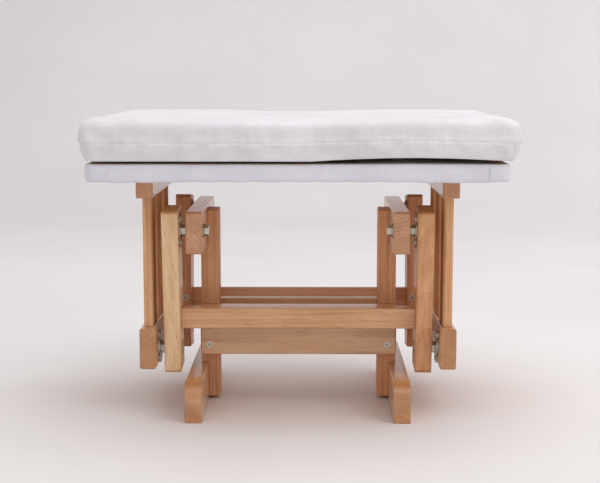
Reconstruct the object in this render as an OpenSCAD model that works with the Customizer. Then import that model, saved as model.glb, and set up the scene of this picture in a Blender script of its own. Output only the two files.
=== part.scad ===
// Glider ottoman: a padded footrest hung from a timber base by four swing arms on ball bearings.
// Origin on the floor under the centre, X to the right, Y to the back, Z up, millimetres.

/* [Timber] */
// Thickness of the side frame boards
board_t = 21; // [16:0.5:26]
// Easing of the edges of the boards
edge_r = 2; // [1:0.5:3]
// Rounding of the long edges of the seat's bottom rails
rail_edge_r = 4; // [1:0.5:6]

/* [Base] */
// Distance from the middle to the inner face of each pivot rail
rail_x = 118; // [95:1:160]
// Length of each foot runner, front to back
foot_l = 286; // [230:1:340]
// Height of each foot runner
foot_h = 50; // [40:1:54]
// Rounding of the top corners of the foot runners
foot_corner_r = 34; // [8:1:40]
// Thickness of each post
post_t = 23; // [20:0.5:28]
// Depth of each post, front to back
post_w = 40; // [34:1:56]
// Depth of the notches that the posts sit in
post_lap = 9; // [5:0.5:11]
// Length of each pivot rail, front to back
pivot_rail_l = 212; // [206:1:250]
// Height of each pivot rail
pivot_rail_h = 53; // [40:1:58]
// Height of the two stretcher boards
stretcher_h = 64; // [50:1:70]
// Thickness of the two stretcher boards
stretcher_t = 18; // [14:0.5:20]
// Height of the underside of the stretcher boards above the floor
stretcher_z = 63.5; // [54:0.5:78]

/* [Swing] */
// Height of the upper pivots above the floor
pivot_z = 232; // [210:0.5:280]
// Distance from the middle to each upper pivot, front to back
pivot_y = 87.5; // [84:0.5:96]
// Distance between the upper and the lower pivot of an arm
arm_span = 151.5; // [140:0.5:155]
// Lean of the hanging arms, towards the middle at the bottom
arm_lean = 6.3; // [4:0.1:9]
// Width of each arm
arm_w = 45; // [36:1:50]
// Length of each arm past a pivot
arm_end = 28.5; // [24:0.5:32]
// Rounding of the corners of the arms
arm_corner_r = 5; // [2:0.5:10]
// Depth of the cross rails, front to back
cross_w = 16; // [14:1:26]
// Height of the cross rails
cross_h = 26.5; // [20:0.5:30]
// Distance of the cross rails above the lower pivots, along the arm
cross_rise = 39; // [30:1:70]

/* [Seat] */
// Length of the seat's top rails, front to back
top_rail_l = 240; // [222:1:300]
// Height of the seat's top rails
top_rail_h = 27; // [20:0.5:30]
// Length of the seat's bottom rails, front to back
bottom_rail_l = 216; // [206:1:280]
// Height of the seat's bottom rails above the lower pivots
bottom_rail_rise = 30; // [25:0.5:40]
// Width of each slat
slat_w = 40; // [30:1:46]
// Thickness of each slat
slat_t = 12; // [10:0.5:14]
// Distance between the middles of two slats
slat_pitch = 76; // [60:1:78]
// Width of the seat board with its fabric
seat_w = 500; // [460:1:640]
// Depth of the seat board with its fabric, front to back
seat_d = 360; // [330:1:460]
// Thickness of the plywood seat board
plywood_t = 18; // [15:0.5:24]
// Room between the pivot rails and the seat board
seat_gap = 45; // [35:0.5:60]

/* [Cushion] */
// Width of the cushion
cushion_w = 521; // [470:1:660]
// Depth of the cushion, front to back
cushion_d = 385; // [340:1:480]
// Thickness of the cushion
cushion_t = 55; // [40:1:90]
// Thickness of the quilted cushion cover
cover_t = 3; // [2:0.5:5]
// Rounding of the cushion's upright corners
cushion_corner_r = 26; // [12:1:40]
// Rounding of the cushion's top and bottom edges
cushion_edge_r = 16; // [8:1:19]

/* [Bearings] */
// Diameter of the pivot bolts
bolt_d = 8; // [6:0.5:10]
// Distance across the flats of the bolt heads and nuts
nut_af = 13; // [12:0.5:16]
// Thickness of the nuts
nut_h = 6.5; // [5:0.5:8]
// Thickness of the bearing plates
plate_t = 1.8; // [1.2:0.1:2.5]
// Diameter of the balls
ball_d = 3; // [2:0.1:3.2]
// Diameter of the circle that the balls run on
ball_pcd = 15.5; // [15:0.1:16.5]

/* [Hidden] */
$fn = 48;

// Running clearances
run_gap = 0.05;    // between the balls and the grooves, on the radius
open_gap = 0.75;   // round the balls of the rear lower bearings, on the radius
end_gap = 0.5;     // between parts that pass each other inside a bearing

// Bearing
washer_d = 18;
washer_t = 1.6;
head_h = 5.3;
ring_l = 10;
ball_count = 7;
ring_r = ball_pcd / 2 - 0.55 * ball_d / 2;
cup_bore_r = ball_pcd / 2 + 0.55 * ball_d / 2;
cup_wall = 1.6;
cup_r = ball_pcd / 2 + ball_d / 2 + cup_wall;
cup_back_t = 1;
cup_l = ring_l + end_gap + cup_back_t;
plate_ear_y = 15;
plate_ear_r = 6;
plate_r = cup_r + 2;
plate_screw_l = 11;
plate_screw_r = 1.5;
plate_screw_head_r = 2.8;
plate_screw_head_h = 1.2;
gap_t = plate_t + nut_h;

// Side stack, from the middle outwards
post_x = rail_x - post_t + post_lap;
rail_out_x = rail_x + board_t;
arm_x = rail_out_x + gap_t;
arm_out_x = arm_x + board_t;
seat_rail_x = arm_out_x + gap_t;

// Base heights
post_foot_z = 3;
post_head_gap = 6;   // between the tops of the posts and of the pivot rails
pivot_rail_up = -1.5;  // middle of the pivot rails above the pivots
pivot_rail_z = pivot_z - pivot_rail_h / 2 + pivot_rail_up;
post_top_z = pivot_rail_z + pivot_rail_h - post_head_gap;

// Pivots
lower_y = pivot_y - arm_span * sin(arm_lean);
lower_z = pivot_z - arm_span * cos(arm_lean);
pocket_gap = 1;       // round the washers of the bolt heads
pocket_room = 0.4;    // past the bolt heads
head_pocket_r = washer_d / 2 + pocket_gap;
head_pocket_l = washer_t + head_h + pocket_room;
cross_drop = arm_span - cross_rise;

// Timber joints
tenon_l = 12;
tenon_wall = 1.5;    // timber between the plate screws and the slats' lower tenons
slat_foot_l = bottom_rail_rise - plate_ear_y - plate_screw_r - tenon_wall;
tenon_cover = 13;    // timber above the slats' upper tenons
slat_head_l = top_rail_h - tenon_cover;
cross_tenon_w = 12;
cross_tenon_h = 16;
slat_tenon_w = slat_w - 10;
slat_tenon_t = 8;
slat_edge_r = 4;

// Seat heights
ear_edge = 1;        // timber below the ears of the bearing plates
bottom_rail_drop = plate_ear_y + plate_ear_r + ear_edge;
bottom_rail_h = bottom_rail_drop + bottom_rail_rise;
bottom_rail_z = lower_z - bottom_rail_drop;
slat_z = bottom_rail_z + bottom_rail_h;
plywood_z = pivot_rail_z + pivot_rail_h + seat_gap;
top_rail_z = plywood_z - top_rail_h;
slat_x = seat_rail_x + board_t / 2;
board_cover_t = 1.5;
hem_w = 32;
staple_in = 19.2;    // from the edge of the cover to the staples
board_corner_r = 10;
strip_w = 25;
strip_l = 240;
strip_t = 2;
board_top_z = plywood_z + plywood_t + board_cover_t;
cushion_z = board_top_z + strip_t;

// Screws
screw_d = 4;
screw_sink_d = 9.6;    // mouth of the countersink
screw_sink = 0.5;      // depth of the heads below the surface
tip_gap = 3;           // timber past the tip of a screw
stretcher_screw_l = stretcher_t + post_w / 2 - tip_gap;
post_screw_l = post_t + board_t - post_lap - tip_gap;
rail_screw_less = 7;   // the cross rails' screws are this much shorter than the arms are wide
rail_screw_l = arm_w - rail_screw_less;
board_screw_l = top_rail_h + plywood_t - tip_gap;

wood = "burlywood";
wood_dark = "peru";
steel = "silver";
cloth = "whitesmoke";

// Rectangle with round corners, centred
module round_rect(w, h, r) {
  union() {
    square([w - 2 * r, h], center = true);
    square([w, h - 2 * r], center = true);
    for (sx = [-1, 1], sy = [-1, 1]) translate([sx * (w / 2 - r), sy * (h / 2 - r)]) circle(r = r);
  }
}

// Puts a shape that is drawn on the right on either side: side is -1 for left, 1 for right
module on_side(side) {
  mirror([side < 0 ? 1 : 0, 0, 0]) children();
}

// Puts a shape drawn for the front (low Y) at the front or the back: end is -1 for front
module at_end(end) {
  mirror([0, end > 0 ? 1 : 0, 0]) children();
}

// Board of the given thickness along +X, its face drawn in Y and Z
module upright_board(t) {
  rotate([90, 0, 90]) linear_extrude(height = t) children();
}

// Board in the middle of the axes with every edge eased: one radius for the corners that show
// from the side (yz), one for those that show from the front (xz) and one for those from above (xy)
module eased_board(size, yz_r = edge_r, xz_r = edge_r, xy_r = edge_r) {
  intersection() {
    translate([-size[0] / 2, 0, 0]) upright_board(size[0]) round_rect(size[1], size[2], yz_r);
    eased_along(size, xz_r, xy_r);
  }
}

// The easing of the edges that a side outline doesn't round
module eased_along(size, xz_r, xy_r) {
  intersection() {
    translate([0, size[1] / 2, 0]) rotate([90, 0, 0]) linear_extrude(height = size[1])
      round_rect(size[0], size[2], xz_r);
    translate([0, 0, -size[2] / 2]) linear_extrude(height = size[2])
      round_rect(size[0], size[1], xy_r);
  }
}

// Cylinder along +X from x
module x_rod(x, l, r) {
  translate([x, 0, 0]) rotate([0, 90, 0]) cylinder(r = r, h = l);
}

// Hexagonal prism along +X from x
module x_hex(x, l) {
  translate([x, 0, 0]) rotate([0, 90, 0]) cylinder(d = nut_af / cos(30), h = l, $fn = 6);
}

// Hole for a countersunk screw along -Z from the surface at z = 0; sunk cuts its top off
module screw_body(l, sunk = 0) {
  cone_l = (screw_sink_d - screw_d) / 2;
  rotate_extrude() polygon([[0, -sunk], [screw_sink_d / 2 - sunk, -sunk], [screw_d / 2, -cone_l],
    [screw_d / 2, screw_d - l], [0, -l]]);
}

// The screw in that hole, with its cross recess
module screw(l) {
  recess = [screw_sink_d * 0.52, 1.5, 4];
  difference() {
    screw_body(l, screw_sink);
    for (a = [0, 90]) rotate([0, 0, a]) cube(recess, center = true);
  }
}

// Round plate screw along +X, driven from x with a low head before it
module plate_screw(x) {
  x_rod(x - plate_screw_head_h, plate_screw_head_h, plate_screw_head_r);
  x_rod(x, plate_screw_l, plate_screw_r);
}

// ---- Bearing pieces, on an axis along +X; x is the outer face of the nut ----

module bearing_ring(x) {
  translate([x, 0, 0]) rotate([0, 90, 0]) rotate_extrude() difference() {
    translate([bolt_d / 2, 0]) square([ring_r - bolt_d / 2, ring_l]);
    translate([ball_pcd / 2, ring_l / 2]) circle(r = ball_d / 2 + run_gap);
  }
}

module bearing_balls(x) {
  for (i = [0 : ball_count - 1])
    translate([x + ring_l / 2, 0, 0]) rotate([i * 360 / ball_count, 0, 0])
      translate([0, 0, ball_pcd / 2]) sphere(d = ball_d);
}

// Outline of the plate in Y and Z
module plate_outline() {
  union() {
    circle(r = plate_r);
    round_rect(2 * plate_ear_r, 2 * (plate_ear_y + plate_ear_r), plate_ear_r - 0.01);
  }
}

// Plate and cup: spare is the extra radius round the balls of the open pivot
module bearing_plate(x, spare) {
  bore_r = spare > 0 ? ball_pcd / 2 + ball_d / 2 + spare : cup_bore_r;
  difference() {
    union() {
      translate([x, 0, 0]) upright_board(plate_t) plate_outline();
      x_rod(x + plate_t, cup_l - plate_t, cup_r);
    }
    translate([x, 0, 0]) rotate([0, 90, 0]) rotate_extrude() union() {
      translate([0, -1]) square([bore_r, cup_l - cup_back_t + 1]);
      if (spare == 0) translate([ball_pcd / 2, ring_l / 2]) circle(r = ball_d / 2 + run_gap);
    }
    for (s = [-1, 1]) translate([0, 0, s * plate_ear_y]) x_rod(x - 1, plate_t + 2, plate_screw_r);
  }
}

// What a bearing plate takes out of the timber behind it
module bearing_pocket(x) {
  x_rod(x + plate_t - 1, cup_l - plate_t + 1, cup_r);
  for (s = [-1, 1]) translate([0, 0, s * plate_ear_y])
    x_rod(x + plate_t, plate_screw_l - plate_t, plate_screw_r);
}

module bearing_plate_screws(x) {
  for (s = [-1, 1]) translate([0, 0, s * plate_ear_y]) plate_screw(x);
}

// ---- Base ----

module post_screw_places() {
  for (z = [foot_h / 2 + 1, pivot_rail_z + pivot_rail_h / 2], y = [-1, 1])
    translate([post_x, y * post_w / 4, z]) rotate([0, -90, 0]) children();
}

module stretcher_screw_places() {
  for (z = [stretcher_z + 13, stretcher_z + stretcher_h - 13])
    translate([post_x + post_t / 2, -post_w / 2 - stretcher_t, z]) rotate([90, 0, 0]) children();
}

module upper_pivot_places() {
  for (end = [-1, 1]) translate([0, end * pivot_y, pivot_z]) children();
}

// Side of a foot runner, in Y and Z
module foot_outline() {
  union() {
    translate([-foot_l / 2, 0]) square([foot_l, foot_h - foot_corner_r]);
    translate([foot_corner_r - foot_l / 2, 0]) square([foot_l - 2 * foot_corner_r, foot_h]);
    for (s = [-1, 1]) translate([s * (foot_l / 2 - foot_corner_r), foot_h - foot_corner_r])
      circle(r = foot_corner_r);
  }
}

module foot_runner(side) {
  color(wood_dark) on_side(side) difference() {
    intersection() {
      translate([rail_x, 0, 0]) upright_board(board_t) foot_outline();
      translate([rail_x + board_t / 2, 0, foot_h / 2])
        eased_along([board_t, foot_l, foot_h], edge_r, edge_r);
    }
    translate([rail_x - 1, -post_w / 2, post_foot_z]) cube([post_lap + 1, post_w, foot_h]);
    post_screw_places() screw_body(post_screw_l);
  }
}

module base_post(side) {
  color(wood) on_side(side) difference() {
    translate([post_x + post_t / 2, 0, (post_foot_z + post_top_z) / 2])
      eased_board([post_t, post_w, post_top_z - post_foot_z]);
    post_screw_places() screw_body(post_screw_l);
    for (end = [-1, 1]) at_end(end) stretcher_screw_places() screw_body(stretcher_screw_l);
  }
}

module pivot_rail(side) {
  color(wood_dark) on_side(side) difference() {
    translate([rail_x + board_t / 2, 0, pivot_rail_z + pivot_rail_h / 2])
      eased_board([board_t, pivot_rail_l, pivot_rail_h], yz_r = rail_edge_r);
    translate([rail_x - 1, -post_w / 2, pivot_rail_z - 1])
      cube([post_lap + 1, post_w, post_top_z - pivot_rail_z + 1]);
    post_screw_places() screw_body(post_screw_l);
    upper_pivot_places() x_rod(rail_x - 1, board_t + 2, bolt_d / 2);
  }
}

module stretcher(end) {
  color(wood) at_end(end) difference() {
    translate([0, -post_w / 2 - stretcher_t / 2, stretcher_z + stretcher_h / 2])
      eased_board([2 * (rail_x + post_lap), stretcher_t, stretcher_h]);
    for (side = [-1, 1]) on_side(side) stretcher_screw_places() screw_body(stretcher_screw_l);
  }
}

module stretcher_screws() {
  color(steel) for (side = [-1, 1], end = [-1, 1])
    on_side(side) at_end(end) stretcher_screw_places() screw(stretcher_screw_l);
}

module post_joint_screws() {
  color(steel) for (side = [-1, 1]) on_side(side) post_screw_places() screw(post_screw_l);
}

module upper_pivot_bolts() {
  color(steel) for (side = [-1, 1]) on_side(side) upper_pivot_places() {
    x_rod(rail_x - washer_t, washer_t + board_t + nut_h + ring_l, bolt_d / 2);
    x_hex(rail_x - washer_t - head_h, head_h);
  }
}

module upper_bolt_washers() {
  color(steel) for (side = [-1, 1]) on_side(side) upper_pivot_places() difference() {
    x_rod(rail_x - washer_t, washer_t, washer_d / 2);
    x_rod(rail_x - washer_t - 1, washer_t + 2, bolt_d / 2);
  }
}

module upper_spacer_nuts() {
  color(steel) for (side = [-1, 1]) on_side(side) upper_pivot_places() difference() {
    x_hex(rail_out_x, nut_h);
    x_rod(rail_out_x - 1, nut_h + 2, bolt_d / 2);
  }
}

module upper_bearing_rings() {
  color(steel) for (side = [-1, 1]) on_side(side) upper_pivot_places() bearing_ring(rail_out_x + nut_h);
}

module upper_bearing_balls() {
  color(steel) for (side = [-1, 1]) on_side(side) upper_pivot_places() bearing_balls(rail_out_x + nut_h);
}

// ---- Swing frames: drawn hanging from the upper pivot, then leaned and set in place ----

module swing_place(end) {
  at_end(end) translate([0, -pivot_y, pivot_z]) rotate([arm_lean, 0, 0]) children();
}

module lower_end() {
  translate([0, 0, -arm_span]) children();
}

module rail_screw_place() {
  translate([arm_x + tenon_l / 2 + 1, arm_w / 2, -cross_drop]) rotate([-90, 0, 0]) children();
}

module cross_tenon() {
  translate([arm_x - 1, -cross_tenon_w / 2, -cross_drop - cross_tenon_h / 2])
    cube([tenon_l + 1, cross_tenon_w, cross_tenon_h]);
}

module arm(side, end) {
  color(wood) on_side(side) swing_place(end) difference() {
    translate([arm_x + board_t / 2, 0, -arm_span / 2])
      eased_board([board_t, arm_w, arm_span + 2 * arm_end], yz_r = arm_corner_r);
    bearing_pocket(rail_out_x + nut_h);
    cross_tenon();
    rail_screw_place() screw_body(rail_screw_l);
    lower_end() x_rod(arm_x - 1, board_t + 2, bolt_d / 2);
    lower_end() x_rod(arm_x - 1, head_pocket_l + 1, head_pocket_r);
  }
}

module cross_rail(end) {
  color(wood_dark) swing_place(end) difference() {
    union() {
      translate([-arm_x, 0, -cross_drop]) upright_board(2 * arm_x) round_rect(cross_w, cross_h, edge_r);
      for (side = [-1, 1]) on_side(side) cross_tenon();
    }
    for (side = [-1, 1]) on_side(side) rail_screw_place() screw_body(rail_screw_l);
  }
}

module rail_screws(end) {
  color(steel) for (side = [-1, 1]) on_side(side) swing_place(end)
    rail_screw_place() screw(rail_screw_l);
}

module upper_bearing_plates(end) {
  color(steel) for (side = [-1, 1]) on_side(side) swing_place(end)
    bearing_plate(rail_out_x + nut_h, 0);
}

module upper_plate_screws(end) {
  color(steel) for (side = [-1, 1]) on_side(side) swing_place(end)
    bearing_plate_screws(rail_out_x + nut_h);
}

module lower_pivot_bolts(end) {
  x = arm_x + head_pocket_l;
  color(steel) for (side = [-1, 1]) on_side(side) swing_place(end) lower_end() {
    x_hex(x - washer_t - head_h, head_h);
    x_rod(x - washer_t, washer_t, washer_d / 2);
    x_rod(x, arm_out_x - x + nut_h + ring_l, bolt_d / 2);
  }
}

module lower_nuts(end) {
  color(steel) for (side = [-1, 1]) on_side(side) swing_place(end) lower_end() difference() {
    x_hex(arm_out_x, nut_h);
    x_rod(arm_out_x - 1, nut_h + 2, bolt_d / 2);
  }
}

module lower_bearing_rings(end) {
  color(steel) for (side = [-1, 1]) on_side(side) swing_place(end) lower_end()
    bearing_ring(arm_out_x + nut_h);
}

module lower_bearing_balls(end) {
  color(steel) for (side = [-1, 1]) on_side(side) swing_place(end) lower_end()
    bearing_balls(arm_out_x + nut_h);
}

// ---- Seat ----

module lower_pivot_place(end) {
  translate([0, end * lower_y, lower_z]) children();
}

module board_screw_places() {
  for (y = [slat_pitch / 2, slat_pitch * 1.38], s = [-1, 1])
    translate([slat_x, s * y, top_rail_z]) rotate([180, 0, 0]) children();
}

// Tenons of the slats, those at the top end or those at the bottom end
module slat_tenon(y, top) {
  z = top ? top_rail_z - 1 : slat_z - slat_foot_l;
  translate([slat_x - slat_tenon_t / 2, y - slat_tenon_w / 2, z])
    cube([slat_tenon_t, slat_tenon_w, top ? slat_head_l + 1 : slat_foot_l + 1]);
}

module seat_top_rail(side) {
  color(wood_dark) on_side(side) difference() {
    translate([slat_x, 0, top_rail_z + top_rail_h / 2])
      eased_board([board_t, top_rail_l, top_rail_h]);
    for (i = [-1 : 1]) slat_tenon(i * slat_pitch, true);
    board_screw_places() screw_body(board_screw_l);
  }
}

module seat_bottom_rail(side) {
  color(wood_dark) on_side(side) difference() {
    translate([slat_x, 0, bottom_rail_z + bottom_rail_h / 2])
      eased_board([board_t, bottom_rail_l, bottom_rail_h], xz_r = rail_edge_r);
    for (i = [-1 : 1]) slat_tenon(i * slat_pitch, false);
    for (end = [-1, 1]) lower_pivot_place(end) bearing_pocket(arm_out_x + nut_h);
  }
}

module slat(side, row) {
  color(wood) on_side(side) union() {
    translate([slat_x, row * slat_pitch, slat_z])
      linear_extrude(height = top_rail_z - slat_z) round_rect(slat_t, slat_w, slat_edge_r);
    for (top = [true, false]) slat_tenon(row * slat_pitch, top);
  }
}

module lower_bearing_plates() {
  color(steel) for (side = [-1, 1], end = [-1, 1]) on_side(side) lower_pivot_place(end)
    bearing_plate(arm_out_x + nut_h, end > 0 ? open_gap : 0);
}

module lower_plate_screws() {
  color(steel) for (side = [-1, 1], end = [-1, 1]) on_side(side) lower_pivot_place(end)
    bearing_plate_screws(arm_out_x + nut_h);
}

// Flat slab with round corners, seen from above
module slab(w, d, z, t, r) {
  translate([0, 0, z]) linear_extrude(height = t) round_rect(w, d, r);
}

module plywood_slab() {
  slab(seat_w - 2 * board_cover_t, seat_d - 2 * board_cover_t, plywood_z, plywood_t, board_corner_r);
}

module seat_board() {
  color(wood) difference() {
    plywood_slab();
    for (side = [-1, 1]) on_side(side) board_screw_places() screw_body(board_screw_l);
  }
}

module seat_board_cover() {
  hem_z = plywood_z - board_cover_t;
  color(cloth) difference() {
    slab(seat_w, seat_d, hem_z, board_top_z - hem_z, board_corner_r + board_cover_t);
    plywood_slab();
    slab(seat_w - 2 * hem_w, seat_d - 2 * hem_w, hem_z - 1, board_cover_t + 2, board_corner_r);
  }
}

module seat_board_screws() {
  color(steel) for (side = [-1, 1]) on_side(side) board_screw_places() screw(board_screw_l);
}

// A row of staple crowns along the middle of each side of the hem
module cover_staples() {
  crown = [10, 1, 0.8];
  z = plywood_z - board_cover_t - crown[2] / 2;
  color(steel) for (s = [-1, 1]) {
    for (i = [-4 : 4]) translate([i * seat_w / 10, s * (seat_d / 2 - staple_in), z])
      cube(crown, center = true);
    for (i = [-3 : 3]) translate([s * (seat_w / 2 - staple_in), i * seat_d / 9, z])
      rotate([0, 0, 90]) cube(crown, center = true);
  }
}

module cushion_grip_strips() {
  color("dimgray") for (s = [-1, 1]) slab_strip(s * seat_w / 4);
}

module slab_strip(x) {
  translate([x - strip_w / 2, -strip_l / 2, board_top_z]) cube([strip_w, strip_l, strip_t]);
}

// Pillow block: a slab with round upright corners and round top and bottom edges
module pillow(w, d, z, t, corner_r, edge_r) {
  intersection() {
    slab(w, d, z, t, corner_r);
    translate([0, d / 2, z + t / 2]) rotate([90, 0, 0]) linear_extrude(height = d)
      round_rect(w, t, edge_r);
    translate([-w / 2, 0, z + t / 2]) upright_board(w) round_rect(d, t, edge_r);
  }
}

module foam_block() {
  pillow(cushion_w - 2 * cover_t, cushion_d - 2 * cover_t, cushion_z + cover_t,
    cushion_t - 2 * cover_t, cushion_corner_r - cover_t, cushion_edge_r - cover_t);
}

module cushion_foam() {
  color("khaki") foam_block();
}

module cushion_cover() {
  color("white") difference() {
    pillow(cushion_w, cushion_d, cushion_z, cushion_t, cushion_corner_r, cushion_edge_r);
    foam_block();
  }
}

foot_runner(-1);  // left_foot_runner
foot_runner(1);  // right_foot_runner
base_post(-1);  // left_base_post
base_post(1);  // right_base_post
pivot_rail(-1);  // left_pivot_rail
pivot_rail(1);  // right_pivot_rail
stretcher(-1);  // front_stretcher
stretcher(1);  // rear_stretcher
stretcher_screws();
post_joint_screws();
upper_pivot_bolts();
upper_bolt_washers();
upper_spacer_nuts();
upper_bearing_rings();
upper_bearing_balls();
arm(-1, -1);  // front_left_arm
arm(1, -1);  // front_right_arm
cross_rail(-1);  // front_cross_rail
rail_screws(-1);  // front_rail_screws
upper_bearing_plates(-1);  // front_upper_bearing_plates
upper_plate_screws(-1);  // front_upper_plate_screws
lower_pivot_bolts(-1);  // front_lower_pivot_bolts
lower_nuts(-1);  // front_lower_nuts
lower_bearing_rings(-1);  // front_lower_bearing_rings
lower_bearing_balls(-1);  // front_lower_bearing_balls
arm(-1, 1);  // rear_left_arm
arm(1, 1);  // rear_right_arm
cross_rail(1);  // rear_cross_rail
rail_screws(1);  // rear_rail_screws
upper_bearing_plates(1);  // rear_upper_bearing_plates
upper_plate_screws(1);  // rear_upper_plate_screws
lower_pivot_bolts(1);  // rear_lower_pivot_bolts
lower_nuts(1);  // rear_lower_nuts
lower_bearing_rings(1);  // rear_lower_bearing_rings
lower_bearing_balls(1);  // rear_lower_bearing_balls
seat_top_rail(-1);  // left_seat_top_rail
seat_top_rail(1);  // right_seat_top_rail
seat_bottom_rail(-1);  // left_seat_bottom_rail
seat_bottom_rail(1);  // right_seat_bottom_rail
slat(-1, -1);  // left_front_slat
slat(-1, 0);  // left_middle_slat
slat(-1, 1);  // left_rear_slat
slat(1, -1);  // right_front_slat
slat(1, 0);  // right_middle_slat
slat(1, 1);  // right_rear_slat
lower_bearing_plates();
lower_plate_screws();
seat_board();
seat_board_cover();
seat_board_screws();
cover_staples();
cushion_grip_strips();
cushion_foam();
cushion_cover();
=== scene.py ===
import math

import bpy
import numpy as np
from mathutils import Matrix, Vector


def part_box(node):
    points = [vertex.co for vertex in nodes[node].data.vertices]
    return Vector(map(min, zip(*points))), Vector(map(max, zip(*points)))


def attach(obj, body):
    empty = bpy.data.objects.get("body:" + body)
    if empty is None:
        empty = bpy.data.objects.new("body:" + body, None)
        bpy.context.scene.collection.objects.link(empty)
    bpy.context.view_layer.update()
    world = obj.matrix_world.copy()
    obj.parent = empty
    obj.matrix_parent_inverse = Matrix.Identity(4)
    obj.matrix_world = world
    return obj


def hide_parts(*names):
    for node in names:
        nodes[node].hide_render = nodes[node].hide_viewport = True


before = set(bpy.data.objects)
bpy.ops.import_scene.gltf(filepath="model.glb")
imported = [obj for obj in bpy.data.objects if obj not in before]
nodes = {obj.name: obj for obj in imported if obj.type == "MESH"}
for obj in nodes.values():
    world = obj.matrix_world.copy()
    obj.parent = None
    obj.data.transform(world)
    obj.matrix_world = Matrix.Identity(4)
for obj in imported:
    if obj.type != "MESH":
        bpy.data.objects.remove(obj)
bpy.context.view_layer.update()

# ---- Camera ----
# A short telephoto at knee height, 1.7 m in front of the ottoman and looking slightly down.
LOOK_DOWN, LOOK_LEFT = 7.5, 0.48    # degrees
camera = bpy.data.objects.new("camera", bpy.data.cameras.new("camera"))
camera.data.lens = 78.0
camera.data.sensor_width = 36.0
camera.data.clip_start = 0.05
camera.location = (0.016, -1.696, 0.430)
camera.rotation_euler = (math.radians(90.0 - LOOK_DOWN), 0.0, math.radians(LOOK_LEFT))
bpy.context.scene.collection.objects.link(camera)
bpy.context.scene.camera = camera

# ---- Floor and backdrop ----
# One pale sheet of studio paper: flat where the ottoman stands, and swept up in a wide arc behind.


def srgb(code):
    """Hex colour to linear light: each channel c is c/12.92 below 0.04045, else
    ((c + 0.055) / 1.055) to the power 2.4."""
    c = np.array([int(code[i:i + 2], 16) for i in (1, 3, 5)]) / 255.0
    c = np.where(c <= 0.04045, c / 12.92, ((c + 0.055) / 1.055) ** 2.4)
    return (*c.tolist(), 1.0)


def add(tree, kind, links=None, **settings):
    """Adds one node: settings are its properties, links are input name or number to a value or
    an output socket of another node. On a Mix node 2 and 3 are its plain values A and B, and 6
    and 7 its colours A and B."""
    node = tree.nodes.new(kind)
    for name, value in settings.items():
        setattr(node, name, value)
    for name, value in (links or {}).items():
        if isinstance(value, bpy.types.NodeSocket):
            tree.links.new(value, node.inputs[name])
        else:
            node.inputs[name].default_value = value
    return node


def new_material(name, **values):
    """A material with one Principled shader, whose plain values are set on its own sockets."""
    mat = bpy.data.materials.new(name)
    mat.use_nodes = True
    shader = mat.node_tree.nodes["Principled BSDF"]
    for socket, value in values.items():
        shader.inputs[socket.replace("_", " ")].default_value = value
    return mat, mat.node_tree, shader


def ramp(tree, factor, stops):
    """Colour ramp from (position, colour) stops."""
    node = add(tree, "ShaderNodeValToRGB", {"Fac": factor})
    elements = node.color_ramp.elements
    while len(elements) < len(stops):
        elements.new(0.5)
    for element, (position, colour) in zip(elements, stops):
        element.position = position
        element.color = colour
    return node


def add_piece(name, points, faces, material):
    """Makes a smooth mesh object at the origin from arrays of points and faces."""
    mesh = bpy.data.meshes.new(name)
    mesh.from_pydata(np.asarray(points, float).reshape(-1, 3), [], np.asarray(faces).tolist())
    mesh.materials.append(material)
    mesh.polygons.foreach_set("use_smooth", [True] * len(mesh.polygons))
    piece = bpy.data.objects.new(name, mesh)
    bpy.context.scene.collection.objects.link(piece)
    return piece


def grid_faces(rows, columns, wrap=False):
    """Quads of a grid of points, row by row; wrap joins the last column to the first."""
    i, j = np.meshgrid(np.arange(rows - 1), np.arange(columns - (0 if wrap else 1)), indexing="ij")
    k = (j + 1) % columns
    quads = np.stack([i * columns + j, i * columns + k, (i + 1) * columns + k,
                      (i + 1) * columns + j], -1)
    return quads.reshape(-1, 4)


paper, tree, shader = new_material("studio_paper", Roughness=0.62)
coords = add(tree, "ShaderNodeTexCoord")
mottle = add(tree, "ShaderNodeTexNoise",
             {"Vector": coords.outputs["Object"], "Scale": 2.2, "Detail": 4.0})
tint = ramp(tree, mottle.outputs["Fac"], [(0.3, srgb("#E1DEDE")), (0.7, srgb("#E8E5E5"))])
# a painted shadow under the ottoman: long faint brownish streaks stand in for its soft shadow and
# the light bounced off its wood, and fade out 0.44 m away to the sides and 0.23 m away in front and
# behind
shadow_map = add(tree, "ShaderNodeMapping",
                {"Vector": coords.outputs["Object"], "Scale": (2.6, 5.0, 5.0)})
shadow_reach = add(tree, "ShaderNodeVectorMath", {0: shadow_map.outputs["Vector"]}, operation="LENGTH")
shadow_fade = add(tree, "ShaderNodeMapRange", {"Value": shadow_reach.outputs["Value"], "From Min": 0.35,
                                              "From Max": 1.15, "To Min": 0.6, "To Max": 0.0},
                 interpolation_type="SMOOTHSTEP")
streak_map = add(tree, "ShaderNodeMapping",
                 {"Vector": coords.outputs["Object"], "Scale": (2.5, 22.0, 1.0)})
streak = add(tree, "ShaderNodeTexNoise",
             {"Vector": streak_map.outputs["Vector"], "Scale": 1.0, "Detail": 5.0,
                                          "Roughness": 0.6})
streak_cut = add(tree, "ShaderNodeMapRange", {"Value": streak.outputs["Fac"], "From Min": 0.3,
                                              "From Max": 0.75, "To Min": 0.55})
painted_shadow = add(tree, "ShaderNodeMath", {0: streak_cut.outputs["Result"],
                                     1: shadow_fade.outputs["Result"]},
            operation="MULTIPLY")
# painted shadow: this mask pulls the floor's colour towards the brownish shadow colour #E2CFC4
shadowed_floor = add(tree, "ShaderNodeMix", {0: painted_shadow.outputs["Value"], 6: tint.outputs["Color"],
                                         7: srgb("#E2CFC4")}, data_type="RGBA")
tree.links.new(shadowed_floor.outputs[2], shader.inputs["Base Color"])

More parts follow.
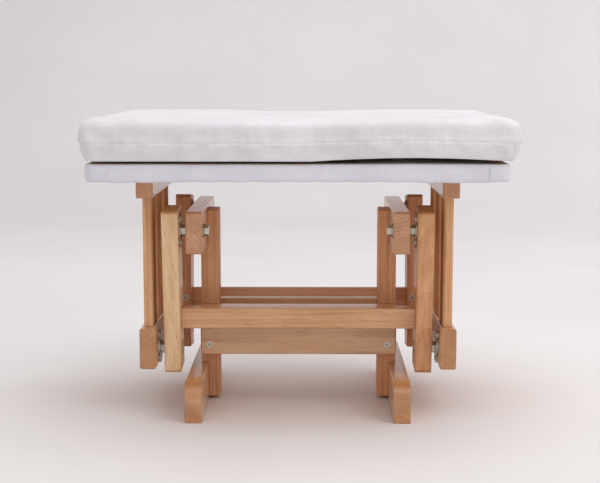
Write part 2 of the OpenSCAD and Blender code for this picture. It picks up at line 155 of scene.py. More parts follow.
SWEEP_Y, SWEEP_R, WALL_H = 1.9, 1.2, 3.2    # where the sweep starts, its radius, the wall's top
FRONT_Y, PAPER_HALF_W = -3.5, 4.0           # the paper's front edge and half of its width
arc = np.linspace(0.0, math.pi / 2, 24)
sweep_y = np.concatenate([[FRONT_Y], SWEEP_Y + SWEEP_R * np.sin(arc), [SWEEP_Y + SWEEP_R]])
sweep_z = np.concatenate([[0.0], SWEEP_R * (1 - np.cos(arc)), [WALL_H]])
sweep_x = np.array([-PAPER_HALF_W, PAPER_HALF_W])
backdrop_points = np.stack(np.broadcast_arrays(sweep_x[None, :], sweep_y[:, None],
                                               sweep_z[:, None]), -1)
backdrop = add_piece("backdrop", backdrop_points, grid_faces(len(sweep_y), 2), paper)

# ---- Light ----
# Soft boxes at the right, at the left and overhead, a wash on the right half of the backdrop, and a
# pale sky of bounced light around them, which leaves a soft shadow below the ottoman.


def soft_box(name, place, target, size, power, colour):
    """A rectangular area light at place, aimed at target."""
    light = bpy.data.lights.new(name, "AREA")
    light.shape = "RECTANGLE"
    light.size, light.size_y = size
    light.energy = power
    light.color = srgb(colour)[:3]
    holder = bpy.data.objects.new(name, light)
    holder.location = place
    aim = np.array(target) - np.array(place)
    holder.rotation_euler = (math.acos(-aim[2] / np.linalg.norm(aim)), 0.0,
                             math.atan2(aim[1], aim[0]) - math.pi / 2)
    bpy.context.scene.collection.objects.link(holder)


soft_box("key_light", (1.9, -1.3, 1.9), (0.0, 0.0, 0.2), (1.4, 1.4), 15.0, "#FFF9F5")
soft_box("fill_light", (-0.7, -2.6, 1.0), (0.0, 0.0, 0.0), (2.2, 1.0), 6.0, "#FFFBF8")
soft_box("top_light", (0.2, 0.1, 2.4), (0.0, 0.0, 0.0), (2.8, 1.9), 27.0, "#FFFFFF")
soft_box("wash_light", (2.9, 0.9, 1.5), (1.3, 3.0, 0.7), (1.0, 1.8), 20.0, "#EEF2FF")
world = bpy.data.worlds.new("studio")
world.use_nodes = True
world.node_tree.nodes["Background"].inputs["Color"].default_value = srgb("#F2F0F0")
world.node_tree.nodes["Background"].inputs["Strength"].default_value = 0.72
bpy.context.scene.world = world
bpy.context.scene.view_settings.view_transform = "Standard"

# ---- Rubberwood boards ----
# Straight-grained pale rubberwood, planed, its edges eased, and finished with a satin lacquer.
# Growth bands run along each board, its ends are darker, and short open pores lie between.

RING_MM = 4.5      # width of a growth band
PORE_MM = 0.35     # width of a pore
PORE_L_MM = 7.0    # length of a pore
JOINT_SHADE_MM = 1.6     # how far the painted shade reaches out of each crack, joint and screw hole


def rubberwood(name, along, seed, light, mid, dark, coat):
    """Wood whose grain runs along one axis. Bands come from the distance to a pith line well
    outside the board, bent by slow noise; pores are stretched noise cut off high. Faces that
    cut the grain are darker and warmer."""
    mat, tree, shader = new_material(name, Roughness=0.7 - 0.4 * coat, Coat_Weight=coat,
                                     Coat_Roughness=0.2, Specular_IOR_Level=min(0.5, coat))
    rng = np.random.default_rng(seed)
    coords = add(tree, "ShaderNodeTexCoord")
    turn = {"x": (0.0, math.pi / 2, 0.0), "y": (math.pi / 2, 0.0, 0.0), "z": (0.0, 0.0, 0.0)}[along]
    shift = tuple(float(v) for v in rng.uniform(-0.4, 0.4, 3))
    place = add(tree, "ShaderNodeMapping", {"Vector": coords.outputs["Object"], "Rotation": turn,
                                            "Location": shift})
    board = place.outputs["Vector"]

    def noise(scale, detail, roughness=0.5):
        """Noise stretched by a scale in each direction of the board."""
        placed = add(tree, "ShaderNodeMapping", {"Vector": board, "Scale": scale})
        return add(tree, "ShaderNodeTexNoise", {"Vector": placed.outputs["Vector"], "Scale": 1.0,
                                                "Detail": detail, "Roughness": roughness})

    def sum_up(value, share, rest):
        """value x share + rest."""
        return add(tree, "ShaderNodeMath", {0: value, 1: share, 2: rest},
                   operation="MULTIPLY_ADD").outputs[0]

    bend = noise((9.0, 9.0, 1.6), 2.0)
    bent = add(tree, "ShaderNodeVectorMath", {0: bend.outputs["Color"], 1: (0.03, 0.03, 0.0)},
               operation="MULTIPLY")
    path = add(tree, "ShaderNodeVectorMath", {0: board, 1: bent.outputs["Vector"]}, operation="ADD")
    flat = add(tree, "ShaderNodeVectorMath", {0: path.outputs["Vector"], 1: (1.0, 1.0, 0.0)},
               operation="MULTIPLY")
    radius = add(tree, "ShaderNodeVectorMath", {0: flat.outputs["Vector"]}, operation="LENGTH")
    turns = add(tree, "ShaderNodeMath", {0: radius.outputs["Value"], 1: 1000.0 / RING_MM},
                operation="MULTIPLY")
    band = add(tree, "ShaderNodeMath", {0: turns.outputs["Value"]}, operation="FRACT")
    tone = sum_up(band.outputs["Value"], 0.10, -0.05)
    slow = noise((45.0, 45.0, 8.0), 5.0, 0.6).outputs["Fac"]
    tone = sum_up(slow, 0.60, tone)
    tone = sum_up(noise((170.0, 170.0, 3.0), 4.0, 0.55).outputs["Fac"], 0.65, tone)
    fibre = noise((900.0, 900.0, 22.0), 3.0, 0.7).outputs["Fac"]
    tone = sum_up(fibre, 0.27, tone)
    face = add(tree, "ShaderNodeSeparateXYZ", {"Vector": coords.outputs["Normal"]})
    cut = add(tree, "ShaderNodeMath", {0: face.outputs["XYZ".index(along.upper())]},
              operation="ABSOLUTE")
    ends = add(tree, "ShaderNodeMapRange",
               {"Value": cut.outputs[0], "From Min": 0.22, "From Max": 0.5})
    end_tone = sum_up(band.outputs["Value"], 0.11, sum_up(slow, 0.60, 0.60))
    tone = add(tree, "ShaderNodeMix", {0: ends.outputs["Result"], 2: tone, 3: end_tone}).outputs[0]
    colour = ramp(tree, tone, [(0.50, srgb(light)), (0.78, srgb(mid)), (1.08, srgb(dark))])
    pore = noise((1000.0 / PORE_MM / 3, 1000.0 / PORE_MM / 3, 1000.0 / PORE_L_MM / 3), 1.0)
    pore_cut = add(tree, "ShaderNodeMapRange", {"Value": pore.outputs["Fac"], "From Min": 0.66,
                                                "From Max": 0.74, "To Max": 0.6})
    pored = add(tree, "ShaderNodeMix", {0: pore_cut.outputs["Result"], 6: colour.outputs["Color"],
                                        7: srgb("#8A5730")}, data_type="RGBA")
    # painted shade: where other surfaces lie close by, in cracks, joints and round screw heads, the
    # colour darkens towards #3B2516
    crevice_occlusion = add(tree, "ShaderNodeAmbientOcclusion", {"Distance": JOINT_SHADE_MM / 1000.0}, samples=8)
    crevice_shade = add(tree, "ShaderNodeMapRange",
                {"Value": crevice_occlusion.outputs["AO"], "From Min": 0.35, "From Max": 0.75})
    crevice_shaded = add(tree, "ShaderNodeMix", {0: crevice_shade.outputs["Result"], 6: srgb("#3B2516"),
                                       7: pored.outputs[2]}, data_type="RGBA")
    tree.links.new(crevice_shaded.outputs[2], shader.inputs["Base Color"])
    bump = add(tree, "ShaderNodeBump", {"Height": sum_up(pore_cut.outputs["Result"], -1.0, fibre),
                                        "Strength": 0.12, "Distance": 0.0006})
    tree.links.new(bump.outputs["Normal"], shader.inputs["Normal"])
    return mat


def dress(node, *materials):
    """Gives a CAD node its materials."""
    slots = nodes[node].data.materials
    slots.clear()
    for material in materials:
        slots.append(material)


grain_of = {"stretcher": "x", "cross_rail": "x", "runner": "y", "pivot_rail": "y", "top_rail": "y",
            "bottom_rail": "y", "post": "z", "arm": "z", "slat": "z"}
timber = sorted(n for n in nodes if n.endswith(tuple(grain_of)))
for seed, node in enumerate(timber):
    along = next(axis for ending, axis in grain_of.items() if node.endswith(ending))
    # each kind of plank has its own shades: the left front arm is palest, and the right front arm
    # and the other rails and runners are the darkest; the seed gives each plank its own grain
    shades = ("#DCAF84", "#CA9263", "#AC7446")
    if node == "front_left_arm":
        shades = ("#EACBA6", "#DDB68B", "#C49868")
    elif node == "front_right_arm":
        shades = ("#DBA97C", "#C68E62", "#A87146")
    elif node.endswith("stretcher"):
        shades = ("#E0B58C", "#D0A076", "#B9895E")
    elif node.startswith("rear") or node.endswith("post"):
        shades = ("#E4B18A", "#D49A72", "#B37A53")
    elif node.endswith("slat"):
        shades = ("#E2B892", "#D3A078", "#B47F57")
    elif node.endswith(("top_rail", "pivot_rail")):
        shades = ("#E6BB93", "#D6A177", "#B88258")
    # less lacquer on the slats, posts and arms, whose faces would else mirror the grey studio
    coat = {"slat": 0.0, "post": 0.15, "arm": 0.3}.get(node.rsplit("_", 1)[1], 0.75)
    dress(node, rubberwood("rubberwood_" + node, along, seed, *shades, coat))

# ---- Plywood seat board ----
# Raw birch plywood, bare underneath where the fabric's hem ends: pale face veneer, layered edge.
plywood, tree, shader = new_material("birch_plywood", Roughness=0.6)
coords = add(tree, "ShaderNodeTexCoord")
veneer_map = add(tree, "ShaderNodeMapping",
                 {"Vector": coords.outputs["Object"], "Scale": (5.0, 90.0, 90.0)})
veneer = add(tree, "ShaderNodeTexNoise", {"Vector": veneer_map.outputs["Vector"], "Scale": 1.0,
                                          "Detail": 5.0, "Roughness": 0.6})
tint = ramp(tree, veneer.outputs["Fac"], [(0.3, srgb("#D9BC92")), (0.7, srgb("#BC9866"))])
tree.links.new(tint.outputs["Color"], shader.inputs["Base Color"])
bump = add(tree, "ShaderNodeBump", {"Height": veneer.outputs["Fac"], "Strength": 0.2,
                                    "Distance": 0.0005})
tree.links.new(bump.outputs["Normal"], shader.inputs["Normal"])
dress("seat_board", plywood)

# ---- Zinc plated hardware ----
# Bolts, nuts, washers, bearing plates and screws: mild steel, bright zinc plated and passivated,
# so they are pale and slightly yellow, with fine cloudy stains.
zinc, tree, shader = new_material("zinc_plated_steel", Metallic=1.0, Roughness=0.34)
coords = add(tree, "ShaderNodeTexCoord")
cloud = add(tree, "ShaderNodeTexNoise",
            {"Vector": coords.outputs["Object"], "Scale": 160.0, "Detail": 4.0})
tint = ramp(tree, cloud.outputs["Fac"], [(0.3, srgb("#B7B1A0")), (0.7, srgb("#D6D3C9"))])
ZINC_SHADE_MM = 2.0    # how far the painted shade reaches out of each recess
# painted shade: in recesses and the crevices between parts the zinc darkens towards #2B2722
recess_occlusion = add(tree, "ShaderNodeAmbientOcclusion", {"Distance": ZINC_SHADE_MM / 1000.0}, samples=8)
recess_shade = add(tree, "ShaderNodeMapRange",
             {"Value": recess_occlusion.outputs["AO"], "From Min": 0.3, "From Max": 0.8})
recess_shaded_zinc = add(tree, "ShaderNodeMix", {0: recess_shade.outputs["Result"], 6: srgb("#2B2722"),
                                    7: tint.outputs["Color"]}, data_type="RGBA")
tree.links.new(recess_shaded_zinc.outputs[2], shader.inputs["Base Color"])
rough = add(tree, "ShaderNodeMapRange",
            {"Value": cloud.outputs["Fac"], "To Min": 0.26, "To Max": 0.48})
tree.links.new(rough.outputs["Result"], shader.inputs["Roughness"])
bump = add(tree, "ShaderNodeBump", {"Height": cloud.outputs["Fac"], "Strength": 0.08,
                                    "Distance": 0.0003})
tree.links.new(bump.outputs["Normal"], shader.inputs["Normal"])

# Rings and balls of the bearings: hardened steel, ground and polished bright.
ground, tree, shader = new_material("ground_bearing_steel", Metallic=1.0, Roughness=0.14)
coords = add(tree, "ShaderNodeTexCoord")
grind_map = add(tree, "ShaderNodeMapping",
                {"Vector": coords.outputs["Object"], "Scale": (2500.0, 60.0, 60.0)})
grind = add(tree, "ShaderNodeTexNoise",
            {"Vector": grind_map.outputs["Vector"], "Scale": 1.0, "Detail": 2.0})
tint = ramp(tree, grind.outputs["Fac"], [(0.3, srgb("#BDBDBF")), (0.7, srgb("#E2E2E2"))])
tree.links.new(tint.outputs["Color"], shader.inputs["Base Color"])
for node in nodes:
    if node.endswith(("rings", "balls")):
        dress(node, ground)
    elif node.endswith(("screws", "bolts", "washers", "nuts", "plates", "staples")):
        dress(node, zinc)

# ---- Hook and loop strips ----
# Two woven strips between the cushion and the board, which hold the cushion on.
grip, tree, shader = new_material("hook_and_loop_nylon", Roughness=0.9)
coords = add(tree, "ShaderNodeTexCoord")
hooks = add(tree, "ShaderNodeTexVoronoi", {"Vector": coords.outputs["Object"], "Scale": 700.0})
tint = ramp(tree, hooks.outputs["Distance"], [(0.1, srgb("#C9C7C4")), (0.7, srgb("#8E8C89"))])
tree.links.new(tint.outputs["Color"], shader.inputs["Base Color"])
bump = add(tree, "ShaderNodeBump", {"Height": hooks.outputs["Distance"], "Strength": 0.5,
                                    "Distance": 0.001})
tree.links.new(bump.outputs["Normal"], shader.inputs["Normal"])
dress("cushion_grip_strips", grip)

# ---- Foam block ----
# Open-cell polyurethane foam, cut from slab: pale yellow, dull, with fine cells.
foam, tree, shader = new_material("polyurethane_foam", Roughness=0.95)
coords = add(tree, "ShaderNodeTexCoord")
cells = add(tree, "ShaderNodeTexVoronoi", {"Vector": coords.outputs["Object"], "Scale": 600.0})
tint = ramp(tree, cells.outputs["Distance"], [(0.0, srgb("#C9BE8A")), (0.5, srgb("#EFE6BE"))])
tree.links.new(tint.outputs["Color"], shader.inputs["Base Color"])
bump = add(tree, "ShaderNodeBump", {"Height": cells.outputs["Distance"], "Strength": 0.4,
                                    "Distance": 0.001})
tree.links.new(bump.outputs["Normal"], shader.inputs["Normal"])

# ---- Fabric ----
# White cotton canvas in a plain weave, washed and pressed: soft, dull and very slightly uneven.

THREAD_MM = 0.9    # spacing of the threads, drawn coarser than the real 0.5 mm so that it shows
RIB_HEIGHT = 9.0   # height of the upright creases in the cloth against that of a thread
GAP_SHADE_MM = 12.0      # how far the canvas looks for cloth close by, which paints its gaps in brown shade


def canvas(name, light, shade, seed):
    """Plain weave: two crossed waves, one thread apart, over slow tonal clouds."""
    mat, tree, shader = new_material(name, Roughness=0.88, Sheen_Weight=0.25, Sheen_Roughness=0.5)
    coords = add(tree, "ShaderNodeTexCoord")
    shift = add(tree, "ShaderNodeMapping", {"Vector": coords.outputs["Object"],
                                            "Location": (0.37 * seed, 0.11 * seed, 0.23)})
    cloud = add(tree, "ShaderNodeTexNoise", {"Vector": shift.outputs["Vector"], "Scale": 14.0,
                                             "Detail": 5.0, "Roughness": 0.6})
    slub_map = add(tree, "ShaderNodeMapping", {"Vector": shift.outputs["Vector"],
                                               "Scale": (40.0, 500.0, 500.0)})
    slub = add(tree, "ShaderNodeTexNoise", {"Vector": slub_map.outputs["Vector"], "Scale": 1.0,
                                            "Detail": 3.0})
    waves = []
    for axis in "XYZ":
        wave = add(tree, "ShaderNodeTexWave", {"Vector": shift.outputs["Vector"],
                                               "Scale": 2 * math.pi / 20.0 / (THREAD_MM / 1000.0),
                                               "Distortion": 0.8, "Detail": 1.0},
                   bands_direction=axis)
        waves.append(wave.outputs["Fac"])
    weave = add(tree, "ShaderNodeMath", {0: waves[0], 1: waves[1]}, operation="ADD")
    weave = add(tree, "ShaderNodeMath", {0: weave.outputs["Value"], 1: waves[2]}, operation="ADD")
    tone = add(tree, "ShaderNodeMath", {0: slub.outputs["Fac"], 1: 0.35, 2: cloud.outputs["Fac"]},
               operation="MULTIPLY_ADD")
    tint = ramp(tree, tone.outputs["Value"], [(0.45, srgb(shade)), (0.85, srgb(light))])
    # painted shade: where other cloth lies close by, the canvas turns brown towards #B58F66, a
    # stand-in for the warm shade in the narrow gap under the cushion
    gap_occlusion = add(tree, "ShaderNodeAmbientOcclusion", {"Distance": GAP_SHADE_MM / 1000.0}, samples=8)
    gap_shade = add(tree, "ShaderNodeMapRange",
              {"Value": gap_occlusion.outputs["AO"], "From Min": 0.15, "From Max": 0.5})
    gap_shaded = add(tree, "ShaderNodeMix", {0: gap_shade.outputs["Result"], 6: srgb("#B58F66"),
                                         7: tint.outputs["Color"]}, data_type="RGBA")
    tree.links.new(gap_shaded.outputs[2], shader.inputs["Base Color"])
    rib_map = add(tree, "ShaderNodeMapping",
                  {"Vector": shift.outputs["Vector"], "Scale": (230.0, 230.0, 16.0)})
    rib = add(tree, "ShaderNodeTexNoise",
              {"Vector": rib_map.outputs["Vector"], "Scale": 1.0, "Detail": 2.0})
    height = add(tree, "ShaderNodeMath", {0: slub.outputs["Fac"], 1: 1.5,
                                          2: weave.outputs["Value"]},
                 operation="MULTIPLY_ADD")
    height = add(tree, "ShaderNodeMath", {0: rib.outputs["Fac"], 1: RIB_HEIGHT,
                                          2: height.outputs["Value"]},
                 operation="MULTIPLY_ADD")
    bump = add(tree, "ShaderNodeBump", {"Height": height.outputs["Value"], "Strength": 0.35,
                                        "Distance": 0.0004})
    tree.links.new(bump.outputs["Normal"], shader.inputs["Normal"])
    return mat


# ---- Seat board cover ----
# One rectangle of canvas pulled over the plywood, folded at the corners, turned under and stapled.
# At each front and back corner the fold lies double, and its edge shows as a slanting line.
board_canvas = canvas("board_canvas", "#E2E1E9", "#D6D5DF", 1)
cover_low, cover_high = (np.array(v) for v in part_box("seat_board_cover"))
HEM = 0.032          # how far the cloth is turned under
CLOTH_T = 0.0012
COVER_CORNER_R = 0.0115
COVER_EDGE_R = 0.0035
FOLD_IN = 0.025      # from the cover's end to the edge of the corner fold
FOLD_LEAN = 0.008    # how far that edge leans over the cover's height


def rounded_loop(half_x, half_y, radius, count):
    """Rectangle with round corners as a function of the way along it: returns points, outward
    normals and the way at count even steps, anticlockwise from the middle of the right side."""
    straight_x, straight_y = half_x - radius, half_y - radius
    quarter = radius * math.pi / 2
    legs = np.array([straight_y, quarter, 2 * straight_x, quarter, 2 * straight_y, quarter,
                     2 * straight_x, quarter, straight_y])
    ends = np.concatenate([[0.0], np.cumsum(legs)])
    way = np.linspace(0.0, ends[-1], count, endpoint=False)
    leg = np.clip(np.searchsorted(ends, way, side="right") - 1, 0, 8)
    part = (way - ends[leg]) / legs[leg]
    turn = np.where(leg % 2 == 1, (leg - 1) / 2 + part, leg / 2) * math.pi / 2
    normal = np.stack([np.cos(turn), np.sin(turn)], -1)
    centres = np.array([[1, 1], [-1, 1], [-1, -1], [1, -1]]) * [straight_x, straight_y]
    corner = centres[np.clip((leg - 1) // 2, 0, 3)]
    start = np.array([[1, 0], [1, 1], [1, 1], [-1, 1], [-1, 1], [-1, -1], [-1, -1], [1, -1],
                      [1, -1]])
    step = np.array([[0, 1], [0, 0], [-2, 0], [0, 0], [0, -2], [0, 0], [2, 0], [0, 0], [0, 1]])
    on_side = (start[leg] + step[leg] * part[:, None]) * [straight_x, straight_y] + normal * radius
    points = np.where((leg % 2 == 1)[:, None], corner + normal * radius, on_side)
    return points, normal, way


def smooth_step(value):
    """0 below 0, 1 above 1, and 3v^2 - 2v^3 between."""
    v = np.clip(value, 0.0, 1.0)
    return v * v * (3 - 2 * v)


cover_half = cover_high[:2]
loop, loop_normal, loop_way = rounded_loop(*cover_half, COVER_CORNER_R, 1500)
quarter = np.linspace(0.0, math.pi / 2, 5)[1:]
bottom_z, top_z = cover_low[2], cover_high[2]
inset = np.concatenate([
    np.linspace(HEM, COVER_EDGE_R, 5), COVER_EDGE_R * (1 - np.sin(quarter)), np.zeros(7),
    COVER_EDGE_R * (1 - np.cos(quarter)), [0.008, 0.02, 0.06, 0.11, cover_half[1]]])
rise = np.concatenate([
    np.full(5, bottom_z), bottom_z + COVER_EDGE_R * (1 - np.cos(quarter)),
    np.linspace(bottom_z + COVER_EDGE_R, top_z - COVER_EDGE_R, 8)[1:],
    top_z - COVER_EDGE_R * (1 - np.sin(quarter)), np.full(5, top_z)])
across = np.clip((rise - bottom_z) / (top_z - bottom_z), 0, 1)[:, None]
# the cloth stands off the board's edge in slow waves, and sags where it turns under
slack = 0.0008 + 0.0006 * np.sin(loop_way * 61.0) + 0.0004 * np.sin(loop_way * 143.0 + 1.0)
past_fold = (np.abs(loop[:, 0]) - (cover_half[0] - FOLD_IN)
             + FOLD_LEAN * (across - 0.5) * (loop[:, 0] < 0))
front_back = np.abs(loop[:, 1]) > cover_half[1] - 0.001
fold = front_back * (CLOTH_T * smooth_step(past_fold / 0.0012 + 0.5)
                     - 0.0012 * np.exp(-((past_fold + 0.0012) / 0.0012) ** 2))
stand = (slack + fold) * np.sin(math.pi * across)
bound = cover_half - inset[:, None, None] + stand[..., None]
points = np.empty((len(inset), len(loop), 3))
points[..., :2] = np.clip(loop - loop_normal * (inset[:, None] - stand)[..., None], -bound, bound)
sag = (0.0010 * smooth_step(np.sin(loop_way * 17.0 + 2.0) * 2 - 1)
       + 0.0003 * (1 + np.sin(loop_way * 173.0)))
points[..., 2] = rise[:, None] - sag * (1 - across) ** 2
board_cover = add_piece("seat_board_canvas", points, grid_faces(*points.shape[:2], wrap=True),
                        board_canvas)
thickness = board_cover.modifiers.new("cloth", "SOLIDIFY")
thickness.thickness = CLOTH_T
thickness.offset = -1.0
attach(board_cover, "seat")
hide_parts("seat_board_cover")

# ---- Cushion ----
# A slab of foam in a boxed canvas cover: the upper panel and its sides are gathered a little into
# the seam that runs round the cushion at two fifths of its height, above a plain lower band.
cushion_canvas = canvas("cushion_canvas", "#E5E3E8", "#D8D5DA", 2)
pad_low, pad_high = (np.array(v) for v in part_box("cushion_cover"))
pad_half = (pad_high - pad_low) / 2
pad_z = (pad_high[2] + pad_low[2]) / 2
PAD_INSET = 0.002       # the cloth starts this far inside its own box
TOP_EDGE_R = 0.0125     # radii of the cushion's edges, and of its corners seen from above
BOTTOM_EDGE_R = 0.0045
PAD_CORNER_R = 0.024
CROWN = 0.0024          # how far the top falls towards its edges
TRAVEL = 0.0045         # no point bulges further than this
TOP_SHARE = 0.3         # share of that travel upwards
TOP_DROP = 0.0015       # the cover's top lies this far below its box
SEAM_UP = 0.0225        # height of the seam above the cushion's underside
SEAM_Z = pad_low[2] + SEAM_UP
RIGHT_BY = 0.0025       # how far the cushion lies to the right of the middle
WIDER = 1.012           # how much its filling spreads it sideways


def box_surface(xs, ys, zs):
    """Points and outward quads of the surface of a lattice box."""
    lines = [np.asarray(xs), np.asarray(ys), np.asarray(zs)]
    index = np.stack(np.meshgrid(*(np.arange(len(v)) for v in lines), indexing="ij"), -1)
    outside = ((index == 0) | (index == np.array([len(v) - 1 for v in lines]))).any(-1)
    number = np.full(outside.shape, -1)
    number[outside] = np.arange(outside.sum())
    chosen = index[outside]
    points = np.stack([lines[axis][chosen[:, axis]] for axis in range(3)], -1)
    faces = []
    for axis in range(3):
        for side in (0, -1):
            sheet = np.take(number, side, axis)
            quads = np.stack([sheet[:-1, :-1], sheet[1:, :-1], sheet[1:, 1:], sheet[:-1, 1:]],
                             -1).reshape(-1, 4)
            faces.append(quads if (side == -1) == (axis != 1) else quads[:, ::-1])
    return points, np.concatenate(faces)


def read_points(mesh):
    """All vertex places of a mesh as one array."""
    co = np.empty(len(mesh.vertices) * 3)
    mesh.vertices.foreach_get("co", co)
    return co.reshape(-1, 3)


def write_points(mesh, co):
    """Puts an array of places back into a mesh."""
    mesh.vertices.foreach_set("co", np.ascontiguousarray(co, float).ravel())
    mesh.update()


def apply_modifiers(piece):
    """Replaces the piece's mesh by what its modifiers make of it."""
    graph = bpy.context.evaluated_depsgraph_get()
    made = bpy.data.meshes.new_from_object(piece.evaluated_get(graph))
    piece.modifiers.clear()
    piece.data = made


def pillow_shape(co, half):
    """Pulls the points of a box onto a crowned pillow block. Square corners become round ones:
    a corner's offset (a, b) is scaled by max(a, b) / hypot(a, b), first in plan and then between
    the sides and the top or bottom. The top then sinks towards its edges by a crown."""
    core = np.clip(co[:, :2], PAD_CORNER_R - half[:2], half[:2] - PAD_CORNER_R)
    out = co[:, :2] - core
    length = np.maximum(np.linalg.norm(out, axis=1), 1e-9)
    level = np.abs(out).max(axis=1)
    z = co[:, 2] - pad_z
    edge_r = np.where(z > 0, TOP_EDGE_R, BOTTOM_EDGE_R)
    a = np.maximum(level - (PAD_CORNER_R - edge_r), 0.0)
    b = np.maximum(np.abs(z) - (half[2] - edge_r), 0.0)
    share = np.maximum(a, b) / np.maximum(np.hypot(a, b), 1e-9)
    level = np.where(a > 0, PAD_CORNER_R - edge_r + a * share, level)
    z = np.where(b > 0, np.sign(z) * (half[2] - edge_r + b * share), z)
    plan = core + out * (level / length)[:, None]
    reach = np.minimum(np.abs(plan / half[:2]), 1.0)
    middle = (1 - reach[:, 0] ** 9) * (1 - reach[:, 1] ** 4)
    upper = smooth_step((z / half[2] + 1) / 2)
    return np.concatenate(
        [plan, (z + pad_z - (TOP_DROP + CROWN * (1 - middle)) * upper)[:, None]], 1)


def fill_with_foam(piece, held, frames=18, pressure=3.0, spare=-0.015):
    """Blows the cloth up by pressure with gravity off: the held points stay, the cloth is a
    little larger than its shape, and no point travels further than TRAVEL."""
    before = read_points(piece.data)
    group = piece.vertex_groups.new(name="held")
    group.add(np.flatnonzero(held).tolist(), 1.0, "REPLACE")
    cloth = piece.modifiers.new("cloth", "CLOTH")
    settings = cloth.settings
    settings.quality = 6
    settings.mass = 0.3
    settings.tension_stiffness = settings.compression_stiffness = 25.0
    settings.shear_stiffness = 8.0
    settings.bending_stiffness = 0.6
    settings.use_pressure = True
    settings.uniform_pressure_force = pressure
    settings.shrink_min = spare
    settings.vertex_group_mass = "held"
    settings.effector_weights.gravity = 0.0
    cloth.point_cache.frame_start, cloth.point_cache.frame_end = 1, frames
    for frame_number in range(1, frames + 1):
        bpy.context.scene.frame_set(frame_number)
    apply_modifiers(piece)
    moved = read_points(piece.data) - before
    far = np.maximum(np.linalg.norm(moved, axis=1, keepdims=True), 1e-9)
    moved = moved * np.minimum(1.0, TRAVEL / far) * [1.0, 1.0, TOP_SHARE]
    write_points(piece.data, before + moved * smooth_step((before[:, 2:] - pad_low[2]) / 0.012))
    bpy.context.scene.frame_set(1)


def way_along_edge(plan, half):
    """Way round a rectangle in metres, from the side that each point of the edge is on."""
    x, y = plan[:, 0], plan[:, 1]
    reach = np.abs(plan) / half
    return np.where(reach[:, 1] >= reach[:, 0], np.where(y < 0, x, 4 * half[0] - x + 2 * half[1]),
                    np.where(x > 0, half[0] * 2 + y, -half[0] * 2 - y))


def wave_sum(way, lengths, seed):
    """Sum of sines of the given wavelengths, their phases drawn from the seed, about -1 to 1."""
    rng = np.random.default_rng(seed)
    total = sum(np.sin(2 * math.pi * way / length + rng.uniform(0, 2 * math.pi))
                for length in lengths)
    return total / math.sqrt(len(lengths))


pad_inner = pad_half - PAD_INSET
rim = np.array([0.0, 0.0025, 0.0055, 0.010])
lattice = [np.concatenate([rim - half, np.linspace(0.016 - half, half - 0.016, count),
                           (half - rim)[::-1]])
           for half, count in ((pad_inner[0], 74), (pad_inner[1], 54))]
upright = np.array([0.0, 0.0025, 0.0055, 0.011, 0.0165, 0.0205, SEAM_UP, 0.0245, 0.0285, 0.034,
                    0.0395, 0.0445, 0.0485, 0.0515, 0.0535]) - SEAM_UP
upright = np.interp(upright, [upright[0], 0.0, upright[-1]],
                    [pad_z - pad_inner[2], SEAM_Z, pad_z + pad_inner[2]])
box_points, box_faces = box_surface(lattice[0], lattice[1], upright)
cushion = add_piece("cushion_canvas_cover", pillow_shape(box_points, pad_inner), box_faces,
                    cushion_canvas)
on_wall = (np.abs(box_points[:, :2]) > pad_inner[:2] - 1e-6).any(1)
on_seam = on_wall & (np.abs(box_points[:, 2] - SEAM_Z) < 1e-6)
inner = (np.abs(box_points[:, :2]) < pad_half[:2] - 0.03).all(1)
resting = (box_points[:, 2] < upright[0] + 1e-6) & inner
fill_with_foam(cushion, on_seam | resting)
finer = cushion.modifiers.new("finer", "SUBSURF")
finer.levels = finer.render_levels = 1
apply_modifiers(cushion)

co = read_points(cushion.data)
plan, z = co[:, :2].copy(), co[:, 2].copy()
core = np.clip(plan, 0.03 - pad_half[:2], pad_half[:2] - 0.03)
out = plan - core
out_length = np.linalg.norm(out, axis=1)
outward = out / np.maximum(out_length, 1e-9)[:, None]
on_side = smooth_step((out_length - 0.014) / 0.012)
way = way_along_edge(plan, pad_half[:2])
# puckers hang in the upper panel, closest together where the cover was eased into the seam
gather = wave_sum(way, [0.0097, 0.0131, 0.0173, 0.0229, 0.0313], 11)
crowd = 0.25 + 0.75 * smooth_step(0.5 + 0.6 * wave_sum(way, [0.083, 0.127, 0.211], 5))
above = np.clip(z - SEAM_Z, 0, None)
below = np.clip(SEAM_Z - z, 0, None)
fade = np.where(z > SEAM_Z, np.exp(-above / 0.012), 0.3 * np.exp(-below / 0.006))
pucker = 0.0013 * gather * crowd * fade
drag = 0.0007 * wave_sum(way + 0.6 * above, [0.041, 0.067, 0.103], 8) * np.exp(-above / 0.03)
groove = 0.0018 * np.exp(-(above / 0.0013) ** 2)
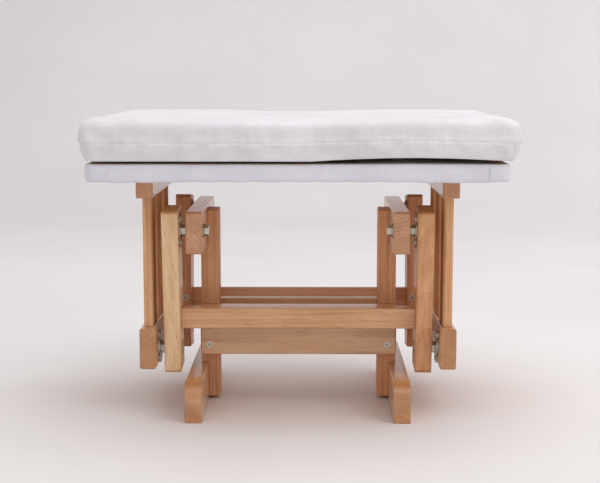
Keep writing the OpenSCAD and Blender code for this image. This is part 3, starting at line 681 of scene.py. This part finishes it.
# the upper panel overhangs the band, whose own upright seams stand near the corners
band_in = (0.0025 + 0.003 * outward[:, 0] ** 2) * smooth_step(below / SEAM_UP)
seam_way = np.abs(plan[:, 0]) - (pad_half[0] - 0.012)
upright_seam = (0.0012 * np.exp(-(seam_way / 0.0016) ** 2) * (z < SEAM_Z)
                * (np.abs(outward[:, 1]) > 0.3))
plan = plan + outward * (on_side * (pucker + drag - groove - band_in - upright_seam))[:, None]
on_top = smooth_step((z - pad_z) / 0.02) * (1 - on_side)
dip = 0.0024 * np.exp(-((plan[:, 0] + 0.008) / 0.085) ** 2)
creases = 0.0004 * wave_sum(0.8 * plan[:, 0] + 0.6 * plan[:, 1], [0.061, 0.094], 3) \
    * wave_sum(plan[:, 1] - 0.3 * plan[:, 0], [0.13, 0.19], 4)
z = z - on_top * (dip - creases)
lift = 0.0044 * np.sin(math.pi * np.clip((plan[:, 0] - 0.015) / 0.235, 0, 1)) ** 0.9 \
    * smooth_step((0.10 - plan[:, 1]) / 0.2)
thick = np.clip((z - pad_low[2]) / (pad_high[2] - pad_low[2]), 0, 1)
z = np.maximum(z, pad_low[2] + 0.0001) + lift * (1 - 0.8 * thick)
# its underside sags onto the board round the edge, outside the strips
z = z - 0.0012 * smooth_step(out_length / 0.012) * (1 - thick) ** 2
# it lies a little to the right
plan[:, 0] = RIGHT_BY + plan[:, 0] * WIDER
write_points(cushion.data, np.concatenate([plan, z[:, None]], 1))
cushion.data.polygons.foreach_set("use_smooth", [True] * len(cushion.data.polygons))
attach(cushion, "seat")
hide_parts("cushion_cover")

# the foam block, a little smaller than the cover all round
FOAM_SHARE = [0.972, 0.960, 0.84]    # its size against the cover's, in X, Y and Z
middle_place = np.array([0.0, 0.0, pad_z])
foam_block = bpy.data.objects.new("foam_block", cushion.data.copy())
write_points(foam_block.data, middle_place + (co - middle_place) * FOAM_SHARE)
foam_block.data.materials.clear()
foam_block.data.materials.append(foam)
bpy.context.scene.collection.objects.link(foam_block)
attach(foam_block, "seat")
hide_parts("cushion_foam")
